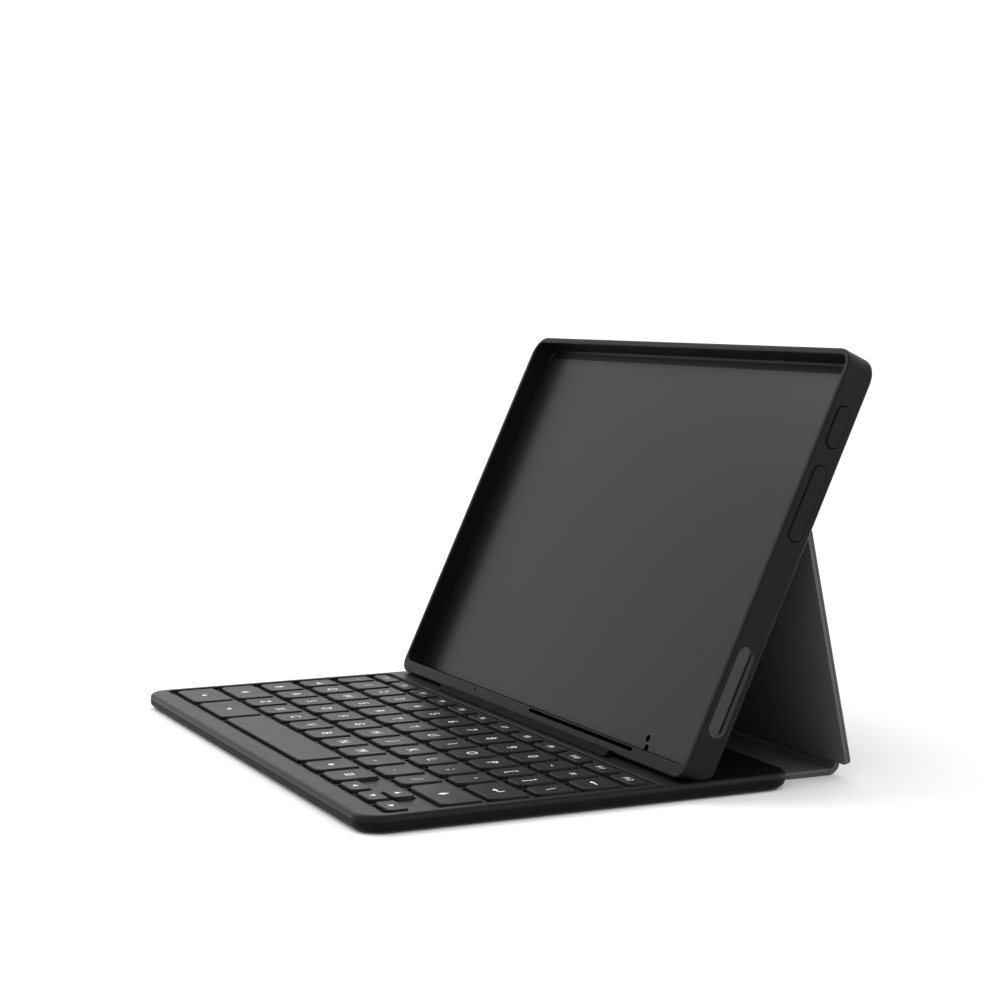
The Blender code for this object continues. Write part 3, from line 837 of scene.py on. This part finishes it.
@dataclass
class Tray:
    """The tablet tray, its lining and buttons, in a frame that leans with it and that the upper rear panel shares.

    In the tray's frame X runs across, Y up the tray and Z out of its open front. Its origin is on the fold.
    """

    tilt: float = math.radians(65.07)
    width: float = 250.0 * MM
    height: float = 161.1 * MM
    depth: float = 12.0 * MM
    wall: float = 2.5 * MM
    lip: float = 5.0 * MM
    back: float = 2.8 * MM
    corner: float = 9.0 * MM
    low_corner: float = 6.0 * MM
    room_corner: float = 4.5 * MM
    room_low_corner: float = 3.5 * MM
    back_round: float = 1.8 * MM
    rim_round: float = 0.8 * MM
    inner_fillet: float = 1.2 * MM
    foot: float = -99.8 * MM
    rim: float = 13.5 * MM
    stand: float = 6.72 * MM
    stand_round: float = 8.0 * MM
    opening_depth: float = 5.6 * MM
    port_up: float = 34.4 * MM
    port_length: float = 33.4 * MM
    port_width: float = 6.8 * MM
    button_width: float = 5.4 * MM
    button_gap: float = 0.3 * MM
    buttons: tuple[Button, ...] = (
        Button("power_button_cover", "power_button", 133.4 * MM, 15.3 * MM),
        Button("volume_button_cover", "volume_button", 104.7 * MM, 28.1 * MM),
    )
    side_reach: float = 1.2 * MM

    def matrix(self) -> Matrix:
        """Returns the transform from the tray's frame to the case's."""
        return Matrix.Translation(fold_place("tray_fold")) @ Matrix.Rotation(self.tilt, 4, "X")

    def build(self) -> None:
        """Makes the tray's pieces."""
        self.shell()
        self.lining()
        for button in self.buttons:
            self.button(button)
        LOG.info("tray: shell, lining and buttons")

    def plan(self, low: float, high: float) -> Slab:
        """Returns the tray's outer plan between two heights of its own frame."""
        start = (-self.width / 2, self.foot, low)
        end = (self.width / 2, self.foot + self.height, high)
        radii = np.array([self.low_corner, self.corner, self.corner, self.low_corner])
        return Slab(start, end, radii, self.back_round, self.rim_round, 8, 14)

    def room(self) -> Slab:
        """Returns the plan of the tablet's room, which a thicker wall closes at the foot."""
        outer = self.plan(0.0, 0.0)
        low = np.array(outer.low) + (self.wall, self.lip, 0.0)
        high = np.array(outer.high) - (self.wall, self.wall, 0.0)
        radii = np.array([self.room_low_corner, self.room_corner, self.room_corner, self.room_low_corner])
        return Slab(low, high, radii, corner_steps=14)

    def shell(self) -> None:
        """Makes the shell: up the rounded back and side, over the rim and down the inner wall to the floor."""
        bottom = self.rim - self.depth
        plan = self.plan(bottom, self.rim)
        room = self.room()
        rings = [plan.ring(inset, height) for inset, height in plan.profile()]
        edge = 0.5 * MM
        for inset, rise in reversed(quarter(edge, 4, False)):
            rings.append(room.ring(-inset, self.rim - edge + rise))
        floor = bottom + self.back
        for inset, rise in reversed(quarter(self.inner_fillet, 5, True)):
            rings.append(room.ring(inset, floor + rise))
        shell = Surface.loft(rings).placed(self.matrix()).build("tray_moulding", SOFT_BLACK)
        half = self.width / 2
        inner, outer = half - 6 * MM, half + 5 * MM
        strip = Slab(*corners("tray_steel_strip"), 0.05 * MM, CRISP, CRISP, 1, 1)
        gap = 0.25 * MM
        strip.low, strip.high = strip.low - gap, strip.high + gap
        strip.low[2] = 0.0
        port = self.pill(inner, outer, self.port_up, self.port_length, self.port_width)
        play = 2 * self.button_gap
        width = self.button_width + play
        tools = [self.pill(inner, outer, button.up, button.length + play, width) for button in self.buttons]
        tools += [strip.surface(), self.stand_cut(half + 5 * MM)]
        # The cut faces of these slots and holes take the near-black: painted shade in the recesses.
        shade_painted_cuts = [*self.lip_openings(), *self.floor_holes()]
        # The port opening's cut faces take the paler grey: painted light inside the opening.
        cutters = [port.build("port_tool", PORT_PAINTED_LIGHT)]
        cutters += [tool.build(f"tray_tool_{number}") for number, tool in enumerate(tools)]
        cutters += [tool.build(f"recess_tool_{number}", RECESS_PAINTED_SHADE) for number, tool in enumerate(shade_painted_cuts)]
        carve(shell, cutters)
        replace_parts(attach(shell, "tray"), "tray_shell")

    def stand_cut(self, half: float) -> Surface:
        """Returns the cutting tool under the lower wall, in the case's frame.

        The wall stays flat at the standing height, and an arc that touches both that flat and the tray's back
        joins the two. The tool is everything below and behind them.

        Args:
            half: half the tool's width.

        Returns:
            The tool's surface, in place.
        """
        radius = self.stand_round
        corner = flat(self.matrix(), self.foot, self.rim - self.depth)
        middle = corner[0] + (self.stand - corner[1]) / math.tan(self.tilt) - radius * math.tan(self.tilt / 2)
        turn = np.linspace(0, self.tilt, 13)
        arc = np.column_stack([middle + radius * np.sin(turn), self.stand + radius * (1 - np.cos(turn))])
        before, behind, below = middle - 25 * MM, middle + 25 * MM, -5 * MM
        section = [(before, below), (behind, below), (behind, arc[-1][1]), *arc[::-1], (before, self.stand)]
        return Surface.loft([across(np.array(section), x) for x in (-half, half)])

    def openings(self, spots: Sequence[Sequence[float]], low: float, high: float) -> list[Surface]:
        """Returns cutting tools with round ends, square to the tray.

        Args:
            spots: for each its left, right, start and end above the foot, in millimetres.
            low: the depth where the tools start.
            high: the height where they end.

        Returns:
            The tools' surfaces, in place.
        """
        tools = []
        for spot in spots:
            left, right, start, end = np.array(spot) * MM
            ends = (left, self.foot + start, low), (right, self.foot + end, high)
            tools.append(Slab(*ends, (end - start) * 0.49).prism().placed(self.matrix()))
        return tools

    def lip_openings(self) -> list[Surface]:
        """Returns cutting tools for the slot and the small hole in the lower wall."""
        spots = [(3.0, 87.0, 3.1, 4.5), (-48.5, -47.1, 3.1, 4.5)]
        return self.openings(spots, self.rim - 4.5 * MM, self.rim + 1 * MM)

    def floor_holes(self) -> list[Surface]:
        """Returns cutting tools for the two holes in the back."""
        floor = self.rim - self.depth + self.back
        spots = [(80.2, 83.0, 5.3, 7.7), (78.9, 81.7, 8.6, 11.2)]
        return self.openings(spots, floor - 5 * MM, floor + 4 * MM)

    def pill(
        self, inner: float, outer: float, up: float, length: float, width: float, edge: float = CRISP
    ) -> Surface:
        """Returns a pill-shaped body through the right wall, its long axis up the tray.

        Args:
            inner: its end in the tray's room, across the tray.
            outer: its end outside.
            up: its middle above the foot.
            length: its length.
            width: its width.
            edge: the radius of its outer edge.

        Returns:
            The pill's surface, in place.
        """
        middle, half = np.array([self.foot + up, self.rim - self.opening_depth]), np.array([length, width]) / 2
        box = Slab((*(middle - half), inner), (*(middle + half), outer), width / 2, CRISP, edge, 4, 10)
        turned = box.surface()
        turned.points = turned.points[:, [2, 0, 1]]
        return turned.placed(self.matrix())

    def lining(self) -> None:
        """Makes the lining sheet on the tray's floor."""
        low, high = local_box("tray_lining", self.matrix())
        low[0] -= self.side_reach
        high[0] += self.side_reach
        slab = Slab(low, high, 4.0 * MM, CRISP, 0.2 * MM, 3, 8)
        sheet = slab.surface().placed(self.matrix()).build("tray_lining_sheet", LINING_GREY)
        tools = [tool.build(f"lining_tool_{number}") for number, tool in enumerate(self.floor_holes())]
        carve(sheet, tools)
        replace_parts(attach(sheet, "tray"), "tray_lining")

    def button(self, button: Button) -> None:
        """Makes a button cover: a pill with a rounded face, and a flange behind the wall."""
        inside, outside = self.width / 2 - self.wall, self.width / 2 + 0.5 * MM
        up, length, width, reach = button.up, button.length, self.button_width, 1.2 * MM
        face = self.pill(inside - 0.3 * MM, outside, up, length, width, 0.45 * MM)
        flange = self.pill(inside - 1.0 * MM, inside - 0.35 * MM, up, length + reach, width + reach, 0.1 * MM)
        piece = Surface.joined([face, flange]).build(button.node.replace("_cover", "_pad"), SOFT_BLACK)
        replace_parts(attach(piece, button.body), button.node)


# Cover


@dataclass
class Cover:
    """The cover behind the deck: spine strip, stand flap and upper rear panel, with folds between them."""

    thick: float = 2.4 * MM
    skin: float = 0.5 * MM
    rim_width: float = 1.3 * MM
    parting: float = 0.03 * MM
    edge: float = 0.4 * MM
    corner: float = 2.0 * MM
    spine_tail: float = 1.4 * MM
    fold_thick: float = 2.3 * MM

    def build(self, tray: Tray) -> None:
        """Makes the panels' skins and the folds between them."""
        spine = self.axis("spine_fold", 0.0)
        crease = self.axis("flap_crease", self.flap_turn())
        upper = tray.matrix()
        self.panel("spine", spine, 0.3 * MM, self.spine_tail)
        self.panel("flap", crease, self.corner, 0.0)
        self.upper_panel(upper)
        self.folds(spine, crease, upper)
        LOG.info("cover: three panels and three folds")

    def axis(self, joint: str, turn: float) -> Matrix:
        """Returns the frame of a panel that starts on a fold axis, turned about it."""
        return Matrix.Translation(fold_place(joint)) @ Matrix.Rotation(turn, 4, "X")

    def flap_turn(self) -> float:
        """Returns the angle at which the flap stands, from its two fold axes."""
        rise = fold_place("tray_fold") - fold_place("flap_crease")
        return math.atan2(rise.z, rise.y)

    def half_shell(self, low: np.ndarray, high: np.ndarray, face: float, meet: float, corner: float) -> Surface:
        """Returns one side of a panel: a skin with its edges turned towards the other side round the board.

        The profile runs from the face out round the edge, along to where the sides meet, back over the turned
        rim and down to the inside of the skin.

        Args:
            low: the panel's low corner.
            high: its high corner.
            face: the height of the outer face.
            meet: the height where the two sides meet.
            corner: the plan's corner radius.

        Returns:
            The closed surface.
        """
        away = 1.0 if meet > face else -1.0
        plan = Slab((*low[:2], 0.0), (*high[:2], 0.0), corner, corner_steps=8)
        rings = [plan.ring(inset, face + away * rise) for inset, rise in quarter(self.edge, 4, True)]
        rings.append(plan.ring(0.0, meet - away * 0.1 * MM))
        rings.append(plan.ring(0.1 * MM, meet))
        rings.append(plan.ring(self.rim_width, meet))
        rings.append(plan.ring(self.rim_width, face + away * self.skin))
        surface = Surface.loft(rings)
        if away < 0:
            surface.faces = [face_points[::-1] for face_points in surface.faces]
        return surface

    def panel(self, prefix: str, matrix: Matrix, corner: float, tail: float) -> None:
        """Makes a panel's outer and inner side.

        Args:
            prefix: the name of its body, with which the names of its nodes begin.
            matrix: the panel's frame.
            corner: the plan's corner radius.
            tail: how much of its end is left to the fold.
        """
        for side, sign in (("outer", -1.0), ("inner", 1.0)):
            node = f"{prefix}_{side}_skin"
            low, high = local_box(node, matrix)
            high[1] -= tail
            surface = self.half_shell(low, high, sign * self.thick / 2, sign * self.parting, corner)
            # The inner sides take the paler leather: painted light in the enclosed space behind the tray.
            finish = COVER_INSIDE_PAINTED_LIGHT if side == "inner" else COVER_SKIN
            piece = surface.placed(matrix).build(f"{prefix}_{side}_side", finish, SOFT_SHARP)
            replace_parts(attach(piece, prefix), node)

    def upper_panel(self, matrix: Matrix) -> None:
        """Makes the upper rear panel's skin, with its edges turned down to the tray's back."""
        low, high = local_box("upper_rear_skin", matrix)
        surface = self.half_shell(low, high, low[2], 1.44 * MM, self.corner)
        piece = surface.placed(matrix).build("upper_rear_side", COVER_SKIN, SOFT_SHARP)
        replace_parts(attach(piece, "tray"), "upper_rear_skin")

    def band(self, name: str, path: np.ndarray, thick: np.ndarray, half: float) -> bpy.types.Object:
        """Makes a fold: a strip of skin across the case, whose section follows a path.

        The section is the path moved half the thickness to either side, closed by round ends. It is swept
        across the case and drawn in at both ends.

        Args:
            name: the piece's name.
            path: the middle line as (along, up) points.
            thick: the thickness at each point.
            half: half the strip's width.

        Returns:
            The strip's object.
        """
        tangent = np.gradient(path, axis=0)
        tangent /= np.linalg.norm(tangent, axis=1)[:, None]
        normal = np.column_stack([-tangent[:, 1], tangent[:, 0]])
        stations = ((-half, 0.7), (-half + 0.15 * MM, 0.9), (-half + 0.4 * MM, 1.0))
        stations += tuple((-x, share) for x, share in stations[::-1])
        rings = []
        for x, share in stations:
            reach = (thick * share / 2)[:, None]
            section = np.concatenate([path + normal * reach, (path - normal * reach)[::-1]])
            rings.append(across(section, x))
        return Surface.loft(rings).build(name, COVER_SKIN, SOFT_SHARP)

    def folds(self, spine: Matrix, crease: Matrix, upper: Matrix) -> None:
        """Makes the three folds."""
        spine_low, spine_high = local_box("spine_outer_skin", spine)
        flap_low, flap_high = local_box("flap_outer_skin", crease)
        upper_low = local_box("upper_rear_skin", upper)[0]
        half = spine_high[0]
        spine_start = flat(spine, spine_low[1])
        spine_end = flat(spine, spine_high[1] - self.spine_tail)
        flap_start, flap_end = flat(crease, flap_low[1]), flat(crease, flap_high[1])
        upper_start = flat(upper, upper_low[1])
        along_flap, along_tray = flat(crease.to_3x3(), 1.0), flat(upper.to_3x3(), 1.0)
        skin_high = corners("deck_outer_skin")[1]
        deck_edge = corners("deck_bottom_shell")[1][1]
        path = np.array([(0.0, 0.5), (0.7, 0.72), (1.5, 1.0), (2.3, 1.2)]) * MM + (deck_edge, 0.0)
        before = [(skin_high[1] - 0.4 * MM, 0.32 * MM), (skin_high[1] + 1.2 * MM, 0.36 * MM)]
        path = np.concatenate([before, path, [spine_start + (CRISP, 0.0)]])
        thick = np.array([0.5, 0.52, 0.6, 0.85, 1.2, 1.7, 2.3]) * MM
        piece = self.band("spine_fold_strip", refine(path), refine(thick[:, None])[:, 0], half)
        self.join(piece)
        reach = 2.1 * MM
        path = bezier(spine_end, spine_end + (reach, 0.0), flap_start - along_flap * reach, flap_start)
        piece = self.band("flap_fold_strip", path, np.full(len(path), self.fold_thick), half)
        self.join(piece)
        reach = 1.0 * MM
        path = bezier(flap_end, flap_end + along_flap * reach, upper_start - along_tray * reach, upper_start)
        wide = flap_high[0] - 0.1 * MM
        piece = self.band("tray_fold_strip", path, np.full(len(path), self.fold_thick), wide)
        self.join(piece)

    def join(
        self, piece: bpy.types.Object
    ) -> None:
        """Bakes a fold's placement into its mesh."""
        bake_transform(piece)


def flat(matrix: Matrix, along: float, up: float = 0.0) -> np.ndarray:
    """Returns where a point of a turned frame lies: its place along the case and its height."""
    point = matrix @ Vector((0.0, along, up))
    return np.array([point.y, point.z])


def bezier(start: np.ndarray, out: np.ndarray, back: np.ndarray, end: np.ndarray, steps: int = 12) -> np.ndarray:
    """Returns points of a cubic curve that leaves start towards out and reaches end coming from back."""
    t = np.linspace(0, 1, steps + 1)[:, None]
    return (1 - t) ** 3 * start + 3 * (1 - t) ** 2 * t * out + 3 * (1 - t) * t**2 * back + t**3 * end


def refine(points: np.ndarray, steps: int = 4) -> np.ndarray:
    """Returns a smooth line through points, with several times as many.

    Between two points the line is a cubic whose slope at each point is half the step between its neighbours.
    """
    padded = np.concatenate([2 * points[:1] - points[1:2], points, 2 * points[-1:] - points[-2:-1]])
    slope = (padded[2:] - padded[:-2]) / 2
    t = (np.arange(steps) / steps)[None, :, None]
    a, b, from_a, into_b = points[:-1, None], points[1:, None], slope[:-1, None], slope[1:, None]
    smooth = (2 * t**3 - 3 * t**2 + 1) * a + (t**3 - 2 * t**2 + t) * from_a
    smooth = smooth + (3 * t**2 - 2 * t**3) * b + (t**3 - t**2) * into_b
    return np.concatenate([smooth.reshape(-1, points.shape[1]), points[-1:]])


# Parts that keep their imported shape


@dataclass(frozen=True)
class InnerParts:
    """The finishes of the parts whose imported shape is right."""

    finishes: tuple[tuple[Finish, tuple[str, ...]], ...] = (
        (STEEL, ("key_support_plate", "charge_socket")),
        (COATED_STEEL, ("tray_steel_strip",)),
        (FILM, ("key_circuit_sheet",)),
        (DOME_RUBBER, ("key_dome_sheet",)),
        (FOIL, ("keyboard_battery",)),
        (LACQUER, ("control_board",)),
        (NICKEL, ("dock_magnet_left", "dock_magnet_right")),
        (GREY_BOARD, ("spine_board", "flap_board", "upper_rear_board")),
    )

    def dress(self) -> None:
        """Gives each part its finish."""
        for finish, nodes in self.finishes:
            for node in nodes:
                part = frame["nodes"][node]
                part.data.materials.clear()
                part.data.materials.append(finish.material())
        LOG.info("inner parts: %d finishes", len(self.finishes))


# Studio


@dataclass
class Studio:
    """A pale floor, soft light and the camera."""

    camera_place: tuple[float, float, float] = (0.755321, -0.343764, 0.169879)
    camera_yaw: float = math.radians(64.96)
    camera_dip: float = math.radians(5.249)
    lens: float = 78.08
    floor_half: float = 4.0

    def build(self) -> None:
        """Sets up the floor, the lights, the world and the camera."""
        self.floor()
        self.world()
        self.lights()
        self.camera()
        LOG.info("studio: floor, lights and camera")

    def floor(self) -> None:
        """Makes the floor, a large square sheet."""
        points = self.floor_half * np.array([(-1.0, -1.0, 0.0), (1.0, -1.0, 0.0), (1.0, 1.0, 0.0), (-1.0, 1.0, 0.0)])
        sheet = Surface(points, [[0, 1, 2, 3]]).build("studio_floor", FLOOR_WHITE)
        sheet.modifiers.clear()

    def world(self) -> None:
        """Makes the even white surroundings."""
        world = bpy.data.worlds.new("studio_white")
        world.use_nodes = True
        background = world.node_tree.nodes["Background"]
        background.inputs["Color"].default_value = (1.0, 1.0, 1.0, 1.0)
        background.inputs["Strength"].default_value = 1.16
        bpy.context.scene.world = world
        bpy.context.scene.view_settings.view_transform = "Standard"

    def lights(self) -> None:
        """Hangs a large soft light to the left and above, and a low one to the right behind the case."""
        self.soft_box("soft_box", (-0.9, -0.6, 1.3), 1.2, 10.0)
        self.soft_box("fill_box", (1.1, 0.6, 0.35), 0.5, 2.0)

    def soft_box(self, name: str, place: tuple[float, float, float], size: float, power: float) -> None:
        """Hangs a square soft light that faces the case."""
        light = bpy.data.lights.new(name, "AREA")
        light.size = size
        light.energy = power
        holder = add_object(name, light)
        holder.location = place
        holder.rotation_euler = (-Vector(place)).to_track_quat("-Z", "Y").to_euler()

    def camera(self) -> None:
        """Sets the camera."""
        lens = bpy.data.cameras.new("camera")
        lens.lens = self.lens
        lens.sensor_width = 36.0
        lens.clip_start = 0.01
        lens.clip_end = 50.0
        holder = add_object("camera", lens)
        holder.location = self.camera_place
        holder.rotation_euler = (math.pi / 2 - self.camera_dip, 0.0, self.camera_yaw)
        bpy.context.scene.camera = holder


def main() -> None:
    """Builds the studio and every piece."""
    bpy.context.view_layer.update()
    Studio().build()
    keys = Keys()
    Deck().build(keys)
    keys.build()
    tray = Tray()
    tray.build()
    Cover().build(tray)
    InnerParts().dress()


if __name__ == "__main__":
    logging.basicConfig(level=logging.INFO, format="%(message)s")
    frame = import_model()
    main()
